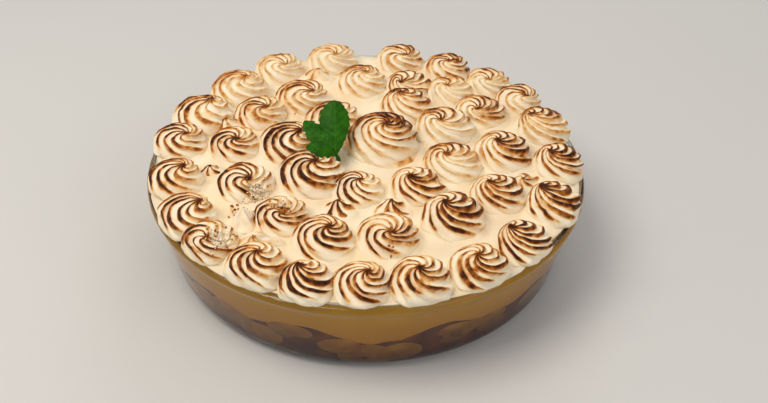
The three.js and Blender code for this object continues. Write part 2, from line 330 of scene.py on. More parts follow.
# %% Mint leaf: waxy green, lighter along its veins
blotch_size, hair_spacing = 5 * MM, 0.5 * MM
leaf_green, tree, surface = blank_material("fresh_mint_leaf", 0.42)
vein = add_node(tree, "ShaderNodeAttribute", attribute_name="vein").outputs["Fac"]
spot = add_node(tree, "ShaderNodeTexCoord").outputs["Object"]
blotch = add_node(tree, "ShaderNodeTexNoise", {"Vector": spot, "Scale": 1 / blotch_size, "Detail": 3.0})
blade = add_node(tree, "ShaderNodeValToRGB", {"Fac": blotch})
set_stops(blade, [(0.3, "#1C4A04"), (0.55, "#265C06"), (0.75, "#326E08")])
vein_share = add_node(tree, MATH, {0: vein, 1: 0.3}, operation="MULTIPLY")
veined = add_node(tree, "ShaderNodeMix", {0: vein_share, 6: blade, 7: tone("#3E7E18")}, data_type="RGBA")
tree.links.new(veined.outputs[2], surface.inputs["Base Color"])
hairs = add_node(tree, "ShaderNodeTexNoise", {"Vector": spot, "Scale": 1 / hair_spacing, "Detail": 2.0})
relief = add_node(tree, "ShaderNodeBump", {"Height": hairs, "Strength": 0.3, "Distance": 0.15 * MM})
tree.links.new(relief.outputs[0], surface.inputs["Normal"])
surface.inputs["Subsurface Weight"].default_value = 0.1
surface.inputs["Subsurface Radius"].default_value = (0.3, 1.0, 0.2)
surface.inputs["Subsurface Scale"].default_value = 1.5 * MM
surface.inputs["Specular IOR Level"].default_value = 0.08
print("materials:", sorted(m.name for m in bpy.data.materials))


# %% [markdown]
# ## Round bodies from rings
# The glass and the layers are all bodies of revolution with small departures: a lumpy top, an uneven
# edge. A lathe modifier could turn a profile, but it couldn't vary it round the dish. So each body is a
# stack of rings of points, from a point in the middle of its underside, up its side, to a point in the
# middle of its top, joined by faces.

# %% A closed skin over rings
def skin_of_rings(name, stacks, material):
    """A mesh of closed skins, one over each stack of rings, an array (rings, points round, 3).

    The first and the last ring of a stack are points."""
    points, faces = np.zeros((0, 3)), []
    for rings in stacks:
        count, around = len(rings), rings.shape[1]
        first = len(points)
        low_pole, high_pole = first + (count - 2) * around, first + (count - 2) * around + 1
        points = np.vstack([points, rings[1:-1].reshape(-1, 3), rings[0][:1], rings[-1][:1]])
        top = first + (count - 3) * around
        for i in range(around):
            j = (i + 1) % around
            for row in range(first, top, around):
                faces.append((row + i, row + j, row + around + j, row + around + i))
            faces.append((low_pole, first + j, first + i))
            faces.append((high_pole, top + i, top + j))
    mesh = bpy.data.meshes.new(name)
    mesh.from_pydata([tuple(p) for p in points], [], faces)
    mesh.shade_smooth()
    mesh.materials.append(material)
    piece = bpy.data.objects.new(name, mesh)
    bpy.context.scene.collection.objects.link(piece)
    print(name, len(faces), "faces")
    return piece


def ring_at(bearings, radii, heights):
    """Points round the dish at the given radii and heights, each one number or one for every bearing."""
    radii, heights = np.broadcast_to(radii, bearings.shape), np.broadcast_to(heights, bearings.shape)
    return np.stack([radii * np.cos(bearings), radii * np.sin(bearings), heights], axis=1)


def stand_for(piece, slot, *nodes):
    """Rides a finished piece on the pie and hides the frame's solids that it stands for; slot is not used.
    """
    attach(piece, "root")
    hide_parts(*nodes)


# %% [markdown]
# ## The glass dish
# The dish has a flat foot, a quarter-round corner, a wall that flares by twelve and a half degrees and a
# rolled lip. Its outer size comes from the frame. One function works out the side's radius at any height,
# and the layers inside use it too, so that they meet the glass all the way round.

# %% The dish's profile
dish_low, dish_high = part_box("glass_dish")
rim_radius, dish_height = (dish_high.x - dish_low.x) / 2, dish_high.z
foot_radius, corner_radius = 104.5 * MM, 12 * MM
wall_slope, glass_wall = math.radians(12.5), 4.5 * MM


def side_radius(height, inset):
    """Radius of the dish's side at a height, taken in from the outside by inset."""
    corner = corner_radius - inset
    corner_end = corner_radius - corner * math.sin(wall_slope)
    if height < corner_end:
        return foot_radius + math.sqrt(max(0.0, corner ** 2 - (corner_radius - height) ** 2))
    return foot_radius + corner * math.cos(wall_slope) + (height - corner_end) * math.tan(wall_slope)


def side_heights(low, high, steps):
    """Heights from low to high, close together round the corner."""
    return [low + (high - low) * (i / steps) ** 2 for i in range(steps + 1)]


lip_radius = (rim_radius - side_radius(dish_height, glass_wall)) / 2
lip_centre = (rim_radius - lip_radius, dish_height - lip_radius)
foot_rise = 0.8 * MM  # the foot is slightly hollow, as pressed glass is
print("lip's radius in mm:", round(lip_radius / MM, 2))

# %% The dish's skin
dish_sides, side_steps, lip_steps = 192, 22, 14
lip_start, lip_sweep = -35, 215  # degrees round the lip's centre, from under its outer edge to the inside
lip_neck = dish_height - 2 * lip_radius + 1 * MM  # where the outer wall runs into the lip
dish_bearings = np.linspace(0, TURN, dish_sides, endpoint=False)
profile = [
    (0, foot_rise), (foot_radius * 0.55, foot_rise),
    (foot_radius * 0.9, foot_rise * 0.7), (foot_radius * 0.965, 0)]
profile += [(side_radius(h, 0), h) for h in side_heights(0, lip_neck, side_steps)]
for i in range(lip_steps + 1):
    angle = math.radians(lip_start + lip_sweep * i / lip_steps)
    out, above = lip_radius * math.cos(angle), lip_radius * math.sin(angle)
    profile.append((lip_centre[0] + out, lip_centre[1] + above))
inside_heights = side_heights(glass_wall, lip_centre[1], side_steps)[::-1]
profile += [(side_radius(h, glass_wall), h) for h in inside_heights[1:]]
profile += [(foot_radius * 0.6, glass_wall), (0, glass_wall)]
dish_rings = np.array([ring_at(dish_bearings, r, h) for r, h in profile])
dish = skin_of_rings("clear_glass_dish", [dish_rings], dish_glass)
stand_for(dish, "dish_glass", "glass_dish")

# %% [markdown]
# ## Banana and custard
# Cooks lay fried banana at the bottom and pour the custard over it, so the custard runs down between the
# slices and their join is lumpy. One function gives that join to both bodies. They reach a third of a
# millimetre into the glass, because a filling wets its dish and a gap of air would show as a mirror.

# %% Where the banana ends and the custard begins
reach = 0.3 * MM  # into the glass
layer_sides = 240
layer_bearings = np.linspace(0, TURN, layer_sides, endpoint=False)
banana_level, banana_wave = 27.5 * MM, 3.5 * MM


lump_size, lump_height = 11 * MM, 2.2 * MM
long_swell, deep_swell = 19 * MM, 23 * MM  # of the waves across the dish, to the right and to the back


def banana_top(x, y):
    """The lumpy top of the banana, as the frame has it, with smaller lumps added."""
    bearing, far = math.atan2(y, x), min(1.0, math.hypot(x, y) / foot_radius) ** 2
    round_side = math.sin(11 * bearing + 2.45) + 0.6 * math.sin(7 * bearing + 2.7)
    across = math.sin(x / long_swell) * math.cos(y / deep_swell)
    lumps = noise.noise(Vector((x, y, 0)) / lump_size) * lump_height
    return banana_level + banana_wave * (far * round_side + (1 - far) * across) + lumps


def layer_rows(underside, wall_low, wall_high, top):
    """Rings of a layer: underside from the middle out, up the wall between two heights, and top back in."""
    wall_steps = 14
    rows = [ring_at(layer_bearings, 0, underside(0, 0))]
    shares = [0.1, 0.2, 0.3, 0.4, 0.5, 0.6, 0.7, 0.8, 0.88, 0.95]
    foot, edge = [wall_low(b) for b in layer_bearings], [wall_high(b) for b in layer_bearings]
    foot_radii = np.array([side_radius(h, glass_wall - reach) for h in foot])
    edge_radii = np.array([side_radius(h, glass_wall - reach) for h in edge])
    for share in shares:
        radii = foot_radii * share
        spots = zip(radii * np.cos(layer_bearings), radii * np.sin(layer_bearings))
        rows.append(ring_at(layer_bearings, radii, [underside(x, y) for x, y in spots]))
    for step in range(wall_steps + 1):
        heights = [low + (high - low) * step / wall_steps for low, high in zip(foot, edge)]
        rows.append(ring_at(layer_bearings, [side_radius(h, glass_wall - reach) for h in heights], heights))
    for share in shares[::-1]:
        radii = edge_radii * share
        spots = zip(radii * np.cos(layer_bearings), radii * np.sin(layer_bearings))
        rows.append(ring_at(layer_bearings, radii, [top(x, y) for x, y in spots]))
    rows.append(ring_at(layer_bearings, 0, top(0, 0)))
    return np.array(rows)


def wall_line(bearing):
    """Height of the banana's top where it meets the glass."""
    radius = side_radius(banana_level, glass_wall - reach)
    return banana_top(radius * math.cos(bearing), radius * math.sin(bearing))


print("banana's top at the front in mm:", round(wall_line(math.radians(-90)) / MM, 1))


# %% The two layers
glass_floor = glass_wall - reach
custard_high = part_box("custard_layer")[1].z
syrup_bed = skin_of_rings("caramel_syrup_bed", [layer_rows(
    lambda x, y: glass_floor, lambda b: glass_floor, wall_line, banana_top)], syrup)
stand_for(syrup_bed, "caramelled_banana", "banana_layer")
custard = skin_of_rings("set_custard_layer", [layer_rows(
    banana_top, wall_line, lambda b: custard_high, lambda x, y: custard_high)], custard_paste)
stand_for(custard, "custard", "custard_layer")

# %% [markdown]
# ## Banana slices against the glass
# Behind the glass the lower band isn't plain syrup: slices of fried banana crowd against the wall, soaked
# dark from below, and more so on the right of the front. Each slice is a thick disc with a rounded edge,
# slumped and tilted by chance, and every point that would pass the glass is pushed back to just inside it,
# which is what flattens real slices too. A tree could scatter the discs, but that push needs the dish's own
# side function, so a loop with a fixed seed makes them.

# %% One slice
slice_count, slice_radius, slice_thickness = 37, 14 * MM, 9 * MM
slice_reach = 0.7 * MM  # into the glass, a little past the syrup
slice_squash = 0.66  # height over width, as they slump in the pan
dark_from = math.radians(270)  # to the right of the middle of the front, the slices have soaked darker
fresh_soak, dark_soak = 0.22, 0.55  # share of syrup in a slice
slice_round, slice_steps = np.linspace(0, TURN, 40, endpoint=False), 12


def slice_rings(centre, face, size, number):
    """Rings of one slice that faces a way, a thick disc with a rounded edge, pressed in by the glass."""
    side = face.cross(Vector((0, 0, 1))).normalized()
    over = side.cross(face)
    rings = []
    for step in range(slice_steps + 1):
        angle = math.pi * (step / slice_steps - 0.5)
        reach_out = size * abs(math.cos(angle)) ** 0.4
        depth = slice_thickness / 2 * math.copysign(abs(math.sin(angle)) ** 0.7, angle)
        ring = []
        for turn in slice_round:
            swell = 1 + 0.05 * math.sin(3 * turn + number)
            across = side * math.cos(turn) + over * math.sin(turn) * slice_squash
            point = centre + face * depth + across * reach_out * swell
            point.z = max(point.z, glass_floor - 0.2 * MM)
            limit = side_radius(point.z, glass_wall - slice_reach) / point.xy.length
            ring.append((point.x * min(1, limit), point.y * min(1, limit), point.z))
        rings.append(ring)
    for pole in (0, -1):
        rings[pole] = [np.mean(rings[pole], axis=0)] * len(slice_round)
    return np.array(rings)


print("a slice is", round(2 * slice_radius / MM), "mm wide and", round(slice_thickness / MM), "mm thick")

# %% All the slices, and how far each has soaked
chance = np.random.default_rng(7)
slice_stacks, slice_soaks = [], []
for i in range(slice_count):
    bearing = TURN * (i + chance.uniform(-0.3, 0.3)) / slice_count
    size = chance.uniform(0.85, 1.1) * slice_radius
    height = wall_line(bearing) - size * slice_squash * chance.uniform(0.7, 1.15)
    outwards = Vector((math.cos(bearing), math.sin(bearing), 0))
    tipped = Vector((0, 0, chance.uniform(-0.7, 0.1)))
    askew = outwards.cross(Vector((0, 0, 1))) * chance.uniform(-0.3, 0.3)
    centre = outwards * (side_radius(height, glass_wall) - slice_thickness * 0.3) + Vector((0, 0, height))
    stack = slice_rings(centre, (outwards + tipped + askew).normalized(), size, i)
    slice_stacks.append(stack)
    soaked = (dark_soak if bearing > dark_from else fresh_soak) + chance.uniform(-0.2, 0.2)
    levels = np.concatenate([stack[1:-1, :, 2].ravel(), stack[[0, -1], 0, 2]])
    lowness = (height - levels) / (size * slice_squash)  # from -1 at a slice's top to 1 at its bottom
    slice_soaks.append(np.clip(soaked + 0.45 * lowness, 0, 1))
slices = skin_of_rings("banana_slices", slice_stacks, banana_flesh)
steeped = slices.data.attributes.new("steeped", "FLOAT", "POINT")
steeped.data.foreach_set("value", np.concatenate(slice_soaks))
stand_for(slices, "caramelled_banana", "banana_layer")

# %% [markdown]
# ## The meringue bed
# Before the rosettes are piped, meringue is spread flat and sealed against the glass, so that the custard
# doesn't weep. A knife leaves it slightly wavy, it climbs a little at the foot of each rosette, and its
# edge drops unevenly to the glass. One ring body does this: every point asks how far it is from the
# nearest rosette and rises close to it.

# %% Where the rosettes stand
bed_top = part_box("meringue_bed")[1].z
rise_over_radius = 0.85  # of every piped piece in the frame, over the radius of its browned outline
foot_spread = 1.12  # how far a foot reaches past that outline
frame_lean = Vector((0.07, 0.02))  # how far a rosette's tip leans in there, as a share of its place
piped = {}  # node name: (place on the bed, radius)
for name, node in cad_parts.items():
    if name.startswith(("rosette_", "dab_")):
        tip = max((v.co for v in node.data.vertices), key=lambda co: co.z)
        lean = frame_lean if name.startswith("rosette_") else Vector((0, 0))
        place = Vector((tip.x / (1 - lean.x), tip.y / (1 - lean.y), bed_top))
        spread = 1.0 if name == "rosette_centre_1" else foot_spread
        piped[name] = (place, (tip.z - bed_top) / rise_over_radius * spread)
print("piped pieces:", len(piped), "radii in mm:", sorted({round(r / MM, 1) for _, r in piped.values()}))

# %% The bed's uneven top
bed_sink = 0.8 * MM  # of the bed under the height that the rosettes stand at
knife_width, knife_wave, ripple_width, ripple_wave = 13 * MM, 1.3 * MM, 4 * MM, 0.35 * MM
edge_width, edge_drop = 6 * MM, 2.2 * MM
skirt_height, skirt_width = 2.2 * MM, 2.0 * MM  # of the meringue that squeezes out at a rosette's foot
feet = np.array([(*place.xy, radius) for place, radius in piped.values()])


def bed_height(x, y, drop=0.0):
    """Height of the bed: knife marks, a skirt round each rosette and a drop towards the glass."""
    gap = np.min(np.hypot(feet[:, 0] - x, feet[:, 1] - y) - feet[:, 2])
    skirt = skirt_height * math.exp(-(max(gap, 0.0) / skirt_width) ** 2)
    knife_marks = noise.noise(Vector((x, y, 0)) / knife_width) * knife_wave
    ripples = noise.noise(Vector((x, y, 7)) / ripple_width) * ripple_wave
    return bed_top - bed_sink + (knife_marks + ripples) + skirt * (1 - drop) - drop * edge_drop


print("bed's middle in mm:", round(bed_height(0, 0) / MM, 1))


# %% The meringue bed's side and edge
bed_sides, bed_rings = 420, 76
bed_bearings = np.linspace(0, TURN, bed_sides, endpoint=False)
bed_low = custard_high + 0.05 * MM


def uneven_edge(level, fineness):
    """Noise round the bed's edge, one value for every bearing."""
    return [noise.noise(Vector((math.cos(b), math.sin(b), level)) * fineness) for b in bed_bearings]


bed_rows = [ring_at(bed_bearings, 0, bed_low)]
wall_radius = side_radius(bed_low, glass_wall - reach)
bed_rows += [ring_at(bed_bearings, wall_radius * share, bed_low) for share in (0.3, 0.6, 0.85)]
edge_swing, edge_sink, spill_swing = 1.6 * MM, 0.6 * MM, 5.5 * MM
edge_heights = np.array([
    bed_top - edge_drop + swing * edge_swing - edge_sink for swing in uneven_edge(level=3, fineness=5)])
edge_heights = np.minimum(edge_heights, lip_centre[1] + lip_radius * 0.55)
for step in range(7):
    heights = bed_low + (edge_heights - bed_low) * step / 6
    bed_rows.append(ring_at(bed_bearings, [side_radius(h, glass_wall - reach) for h in heights], heights))
edge_radius = side_radius(bed_top - edge_drop, glass_wall - reach)
spill = np.array([  # how far the foam has run out over the lip
    max(0.0, swing + 0.25) * spill_swing for swing in uneven_edge(level=9, fineness=4)])
spill = np.minimum(spill, lip_radius * 1.45)
for share, above_lip in ((0.6, 0.0), (1.0, 0.25), (1.0, 0.7)):
    if above_lip:
        over = np.maximum(edge_heights, dish_height + above_lip * MM)
    else:
        over = edge_heights * 0.4 + dish_height * 0.6
    heights = np.where(spill > 0.1 * MM, over, edge_heights + above_lip * 0.4 * MM)
    bed_rows.append(ring_at(bed_bearings, edge_radius + spill * share, heights))
print("foam over the lip, at most, in mm:", round(spill.max() / MM, 1))

# %% The meringue bed's top and skin
for i in range(1, bed_rings):
    radius = edge_radius * (1 - i / bed_rings)
    drop = max(0.0, 1 - (edge_radius - radius) / edge_width) ** 1.5
    heights = [bed_height(radius * math.cos(b), radius * math.sin(b), drop) for b in bed_bearings]
    bed_rows.append(ring_at(bed_bearings, radius, heights))
bed_rows.append(ring_at(bed_bearings, 0, bed_height(0, 0)))
bed = skin_of_rings("meringue_bed_spread", [np.array(bed_rows)], meringue)
stain_size, stain_heat, hidden_heat = 16 * MM, 0.1, 0.12  # the bed is barely browned, its underside evenly
bed_toast = bed.data.attributes.new("toast", "FLOAT", "POINT")
for vertex, value in zip(bed.data.vertices, bed_toast.data):
    stain = stain_heat * max(0.0, noise.noise(vertex.co / stain_size) + 0.35)
    value.value = stain if vertex.co.z > bed_low + 1 * MM else hidden_heat
stand_for(bed, "meringue", "meringue_bed")


# %% [markdown]
# ## A piped rosette as a geometry tree
# A cook holds an eight-pointed star nozzle just above the bed, presses, and turns it while lifting. That
# leaves a dome with eight proud ridges, which flare at the foot and wind round to a small tip. A rosette
# could be sculpted once and copied, but fifty alike would look cast. So one tree bends a flat grid into a
# rosette: across the grid is the way round, up the grid is the way from foot to tip. Every size is a named
# input, so each rosette gets its own turn, lean and browning.

# %% Inputs of the rosette tree
rosette_tree = bpy.data.node_groups.new("piped_rosette", "GeometryNodeTree")
rosette_inputs = {
    "Place": "Vector", "Radius": "Float", "Height": "Float", "Peak": "Float", "Ridges": "Int",
    "Ridge Depth": "Float", "Twist": "Float", "Turn": "Float", "Lean": "Vector", "Seed": "Float",
    "Heat": "Float", "Heat Side": "Float", "Heat Bias": "Float",
    "Broken Place": "Vector", "Broken Size": "Float", "Finish": "Material",
}
for name, kind in rosette_inputs.items():
    rosette_tree.interface.new_socket(name, in_out="INPUT", socket_type="NodeSocket" + kind)
rosette_tree.interface.new_socket("Geometry", in_out="OUTPUT", socket_type="NodeSocketGeometry")
given = add_node(rosette_tree, "NodeGroupInput").outputs
print("inputs:", ", ".join(rosette_inputs))


# %% A helper for drawn curves
def draw_curve(node, points):
    """Gives a Float Curve node its points and returns the node."""
    curve = node.mapping.curves[0]
    while len(curve.points) < len(points):
        curve.points.new(0.5, 0.5)
    for point, place in zip(curve.points, points):
        point.location = place
    node.mapping.update()
    return node


# %% [markdown]
# ### The grid and the outline
# One side of the grid goes once round the rosette and the other climbs from its foot to its tip. The
# outline could be a profile that is spun, but two profiles drawn as Float Curves over the climb can be
# mixed: a dome for a rosette and a cone for a dab, which the Peak input chooses between.

# %% The grid, the way round and the way up
cells_round, cells_up, sink = 144, 44, 1.2 * MM
tree = rosette_tree
grid = add_node(tree, "GeometryNodeMeshGrid", {
    "Size X": 1.0, "Size Y": 1.0, "Vertices X": cells_round + 1, "Vertices Y": cells_up + 1})
cell = add_node(tree, "ShaderNodeSeparateXYZ", {0: add_node(tree, "GeometryNodeInputPosition")}).outputs
around = add_node(tree, MATH, {0: cell["X"], 1: TURN, 2: TURN / 2}, operation="MULTIPLY_ADD")
climb = add_node(tree, MATH, {0: cell["Y"], 1: 0.5}, operation="ADD")
phase = add_node(tree, MATH, {0: around, 1: given["Ridges"]}, operation="MULTIPLY")
print("grid cells:", cells_round, "round and", cells_up, "up")

# %% The outline, drawn as curves over the climb from foot to tip
outline_points = {
    "dome_radius": [(0, 0.95), (0.1, 0.99), (0.22, 0.96), (0.36, 0.87), (0.5, 0.73), (0.65, 0.54),
                    (0.8, 0.31), (0.92, 0.1), (1, 0)],
    "dome_height": [(0, 0), (0.1, 0.15), (0.22, 0.37), (0.36, 0.6), (0.5, 0.77), (0.65, 0.88),
                    (0.8, 0.94), (0.92, 0.965), (1, 1)],
    "peak_radius": [(0, 1), (0.2, 0.8), (0.45, 0.52), (0.7, 0.27), (0.88, 0.11), (1, 0)],
    "peak_height": [(0, 0), (0.2, 0.26), (0.45, 0.56), (0.7, 0.81), (0.88, 0.95), (1, 1)],
    "ridge": [(0, 0.1), (0.1, 0.3), (0.22, 0.75), (0.36, 1), (0.65, 0.95), (0.82, 0.6), (0.93, 0.2),
              (1, 0)],
    "facing_up": [(0, 0.02), (0.22, 0.25), (0.36, 0.5), (0.5, 0.75), (0.65, 0.92), (1, 1)],
    "swirl": [(0, 0), (0.3, 0.24), (0.6, 0.55), (0.85, 0.84), (1, 1)],
}
outline = {
    name: draw_curve(add_node(tree, "ShaderNodeFloatCurve", {1: climb}), points)
    for name, points in outline_points.items()
}
dome_or_peak = {
    part: add_node(tree, "ShaderNodeMix", {
        0: given["Peak"], 2: outline["dome_" + part], 3: outline["peak_" + part]})
    for part in ("radius", "height")
}
off_pole = add_node(tree, MATH, {0: climb, 1: 0.5 / cells_up}, operation="GREATER_THAN")
radius_share = add_node(tree, MATH, {0: dome_or_peak["radius"], 1: off_pole}, operation="MULTIPLY")
print("curves over the climb:", ", ".join(outline))

# %% [markdown]
# ### The ridges
# The nozzle's teeth leave valleys between proud crests, and no hand turns it evenly. Noise read on a circle
# that climbs with the rosette makes every ridge differ in depth, place and width, without a step where the
# grid's two ends meet. Across a ridge one drawn curve gives the valley's shape, and the whole pattern winds
# up towards the tip. The side that faced the flame dried first and stayed crisp.

# %% Every ridge a little different
circle = add_node(tree, "ShaderNodeCombineXYZ", {
    0: add_node(tree, MATH, {0: around}, operation="COSINE"),
    1: add_node(tree, MATH, {0: around}, operation="SINE"),
    2: add_node(tree, MATH, {0: climb, 1: 0.8, 2: given["Seed"]}, operation="MULTIPLY_ADD"),
})
hand = add_node(tree, "ShaderNodeTexNoise", {"Vector": circle, "Scale": 1.3, "Detail": 1.0})
uneven = add_node(tree, "ShaderNodeSeparateXYZ", {0: hand.outputs["Color"]}).outputs
ridge_share = add_node(tree, "ShaderNodeMapRange", {0: uneven[0], 1: 0.3, 2: 0.7, 3: 0.6, 4: 1.3})
jitter = add_node(tree, "ShaderNodeMapRange", {0: uneven[1], 1: 0.3, 2: 0.7, 3: -0.13, 4: 0.13})
wobble = add_node(tree, "ShaderNodeMapRange", {0: uneven[2], 1: 0.3, 2: 0.7, 3: 0.95, 4: 1.04})

# %% The ridges themselves: proud crests between rounded valleys
across_ridge = add_node(tree, MATH, {0: add_node(
    tree, MATH, {0: phase, 1: 1 / TURN, 2: 0.5}, operation="MULTIPLY_ADD")}, operation="FRACT")
valley = draw_curve(add_node(tree, "ShaderNodeFloatCurve", {1: across_ridge}), [
    (0, 1), (0.12, 0.84), (0.26, 0.45), (0.4, 0.12), (0.5, 0),
    (0.6, 0.11), (0.72, 0.5), (0.86, 0.88), (1, 1)])
standing = add_node(tree, MATH, {0: around, 1: given["Turn"]}, operation="ADD")
unwound = add_node(tree, MATH, {0: given["Twist"], 1: outline["swirl"]}, operation="MULTIPLY")
bearing = add_node(tree, MATH, {
    0: add_node(tree, MATH, {0: standing, 1: jitter}, operation="ADD"), 1: unwound}, operation="SUBTRACT")
turned_away = add_node(tree, MATH, {0: add_node(
    tree, MATH, {0: bearing, 1: given["Heat Side"]}, operation="SUBTRACT")}, operation="COSINE")
crispness = add_node(tree, "ShaderNodeMapRange", {0: turned_away, 1: -1.0, 2: 1.0, 3: 0.6, 4: 1.1})
sunk = given["Radius"]
for factor in (given["Ridge Depth"], outline["ridge"], ridge_share, crispness, valley):
    sunk = add_node(tree, MATH, {0: sunk, 1: factor}, operation="MULTIPLY")
print("nodes so far:", len(tree.nodes))

# %% [markdown]
# ### From numbers to a point in space
# Radius, bearing and height now place every point of the grid. A valley sinks inwards where the rosette is
# steep and downwards where it is flat, so its depth is shared out by how far the outline faces up. The tip
# leans last and most, because the cook pulls the nozzle away sideways.

# %% From outline and ridges to a point in space
facing_up = outline["facing_up"]
facing_out = add_node(tree, MATH, {0: add_node(
    tree, MATH, {0: 1.0, 1: add_node(tree, MATH, {0: facing_up, 1: 2.0}, operation="POWER")},
    operation="SUBTRACT", use_clamp=True)}, operation="SQRT")
full_radius = add_node(tree, MATH, {0: given["Radius"], 1: wobble}, operation="MULTIPLY")
sunk_in = add_node(tree, MATH, {0: sunk, 1: facing_out}, operation="MULTIPLY")
sunk_down = add_node(tree, MATH, {0: sunk, 1: facing_up}, operation="MULTIPLY")
out_to = add_node(tree, MATH, {
    0: add_node(tree, MATH, {0: full_radius, 1: radius_share}, operation="MULTIPLY"),
    1: add_node(tree, MATH, {0: sunk_in, 1: off_pole}, operation="MULTIPLY")}, operation="SUBTRACT")
reach_out = add_node(tree, MATH, {0: out_to, 1: 0.0}, operation="MAXIMUM")
full_height = add_node(tree, MATH, {0: given["Height"], 1: sink}, operation="ADD")
rise = add_node(tree, MATH, {
    0: add_node(tree, MATH, {0: full_height, 1: dome_or_peak["height"]}, operation="MULTIPLY"),
    1: add_node(tree, MATH, {0: sunk_down, 1: sink}, operation="ADD")}, operation="SUBTRACT")
upright = add_node(tree, "ShaderNodeCombineXYZ", {
    0: add_node(tree, MATH, {0: reach_out, 1: add_node(tree, MATH, {0: bearing}, operation="COSINE")},
                operation="MULTIPLY"),
    1: add_node(tree, MATH, {0: reach_out, 1: add_node(tree, MATH, {0: bearing}, operation="SINE")},
                operation="MULTIPLY"),
    2: rise,
})
narrowed = add_node(tree, MATH, {0: 1.0, 1: dome_or_peak["radius"]}, operation="SUBTRACT", use_clamp=True)
lean_share = add_node(tree, MATH, {0: narrowed, 1: 1.5}, operation="POWER")
leaned = add_node(tree, VECTOR_MATH, {
    0: upright, 1: add_node(tree, VECTOR_MATH, {0: given["Lean"], "Scale": lean_share}, operation="SCALE")},
    operation="ADD")
placed = add_node(tree, VECTOR_MATH, {0: leaned, 1: given["Place"]}, operation="ADD")
print("nodes so far:", len(tree.nodes))

# %% [markdown]
# ### The rim, the foam and broken crust
# Foam that reaches the dish's rim spreads along it, so points beyond a limit are pulled back most of the
# way. Two sizes of noise then make the surface uneven, as whipped foam is. Where the crust was knocked, a
# sphere with a ragged edge marks the points that turn to rubble and sink; its size is an input.

# %% Meringue that meets the rim is pressed flat along it
rim_limit, rim_give = rim_radius - 1.5 * MM, 0.4  # share of the way that a point beyond the limit keeps
flat = add_node(tree, VECTOR_MATH, {0: placed, 1: (1, 1, 0)}, operation="MULTIPLY")
from_axis = add_node(tree, VECTOR_MATH, {0: flat}, operation="LENGTH").outputs["Value"]
past_limit = add_node(tree, MATH, {0: from_axis, 1: rim_limit}, operation="SUBTRACT")
beyond = add_node(tree, MATH, {0: past_limit, 1: 0.0}, operation="MAXIMUM")
inwards = add_node(tree, MATH, {0: beyond, 1: rim_give - 1}, operation="MULTIPLY")
pull = add_node(tree, MATH, {0: inwards, 1: from_axis}, operation="DIVIDE")
placed = add_node(tree, VECTOR_MATH, {0: flat, 1: pull, 2: placed}, operation="MULTIPLY_ADD")

# %% Soft and fine unevenness, and places where the crust has broken
surface_point = placed
middle_grey = (0.5, 0.5, 0.5)  # a noise's mean, taken off so that it moves points both ways
for grain, swing in ((9 * MM, 2.2 * MM), (2.2 * MM, 0.45 * MM)):  # soft lumps, then fine ones
    lumps = add_node(tree, "ShaderNodeTexNoise", {"Vector": placed, "Scale": 1 / grain, "Detail": 1.0})
    centred = add_node(tree, VECTOR_MATH, {0: lumps.outputs["Color"], 1: middle_grey}, operation="SUBTRACT")
    moved = add_node(tree, VECTOR_MATH, {0: centred, "Scale": swing}, operation="SCALE")
    surface_point = add_node(tree, VECTOR_MATH, {0: surface_point, 1: moved}, operation="ADD")
crumble_grain, crumble_swing, crumble_depth, ragged_reach = 2.4 * MM, 4.5 * MM, 2.2 * MM, 4 * MM
apart = add_node(tree, VECTOR_MATH, {0: placed, 1: given["Broken Place"]}, operation="DISTANCE")
ragged = add_node(tree, "ShaderNodeTexNoise", {"Vector": placed, "Scale": 1 / crumble_grain, "Detail": 3.0})
ragged_apart = add_node(tree, MATH, {
    0: ragged, 1: ragged_reach, 2: apart.outputs["Value"]}, operation="MULTIPLY_ADD")
broken = add_node(tree, "ShaderNodeMapRange", {
    0: ragged_apart, 1: given["Broken Size"],
    2: add_node(tree, MATH, {0: given["Broken Size"], 1: 0.7}, operation="MULTIPLY"), 3: 0.0, 4: 1.0},
    interpolation_type="SMOOTHSTEP")
rubble = add_node(tree, VECTOR_MATH, {
    0: add_node(tree, VECTOR_MATH, {0: ragged.outputs["Color"], 1: middle_grey}, operation="SUBTRACT"),
    "Scale": add_node(tree, MATH, {0: broken, 1: crumble_swing}, operation="MULTIPLY")}, operation="SCALE")
hollow = add_node(tree, "ShaderNodeCombineXYZ", {
    2: add_node(tree, MATH, {0: broken, 1: -crumble_depth}, operation="MULTIPLY")})
for move in (rubble, hollow):
    surface_point = add_node(tree, VECTOR_MATH, {0: surface_point, 1: move}, operation="ADD")
print("nodes so far:", len(tree.nodes))

# %% [markdown]
# ### Browning
# A flame browns what stands proud: the crests, the tip and the side that faced it. This could be worked out
# from the finished mesh's curvature, but the tree already knows how far each point lies from its crest. So
# a drawn curve gives the browning across a ridge, fading slowly on one side of the crest and ending sharply
# on the other, and noise flares it. The foot, which the flame never reached, stays pale.

# %% How brown each point is
side_toast = draw_curve(add_node(tree, "ShaderNodeFloatCurve", {1: across_ridge}), [
    (0, 0), (0.08, 0.05), (0.18, 0.26), (0.28, 0.47), (0.38, 0.64), (0.48, 0.8), (0.57, 0.85),
    (0.65, 0.6), (0.71, 0.15), (0.76, 0), (1, 0)])  # the crest is at 0.5
flare_size, scorch_size = 6 * MM, 11 * MM
flare = add_node(tree, "ShaderNodeTexNoise", {"Vector": placed, "Scale": 1 / flare_size, "Detail": 2.0})
flare_share = add_node(tree, "ShaderNodeMapRange", {0: flare, 1: 0.35, 2: 0.65, 3: 0.5, 4: 1.2})
bias = add_node(tree, MATH, {0: turned_away, 1: given["Heat Bias"], 2: 1.0}, operation="MULTIPLY_ADD")
foot_shift = add_node(tree, "ShaderNodeMapRange", {0: uneven[1], 1: 0.3, 2: 0.7, 3: -0.12, 4: 0.1})
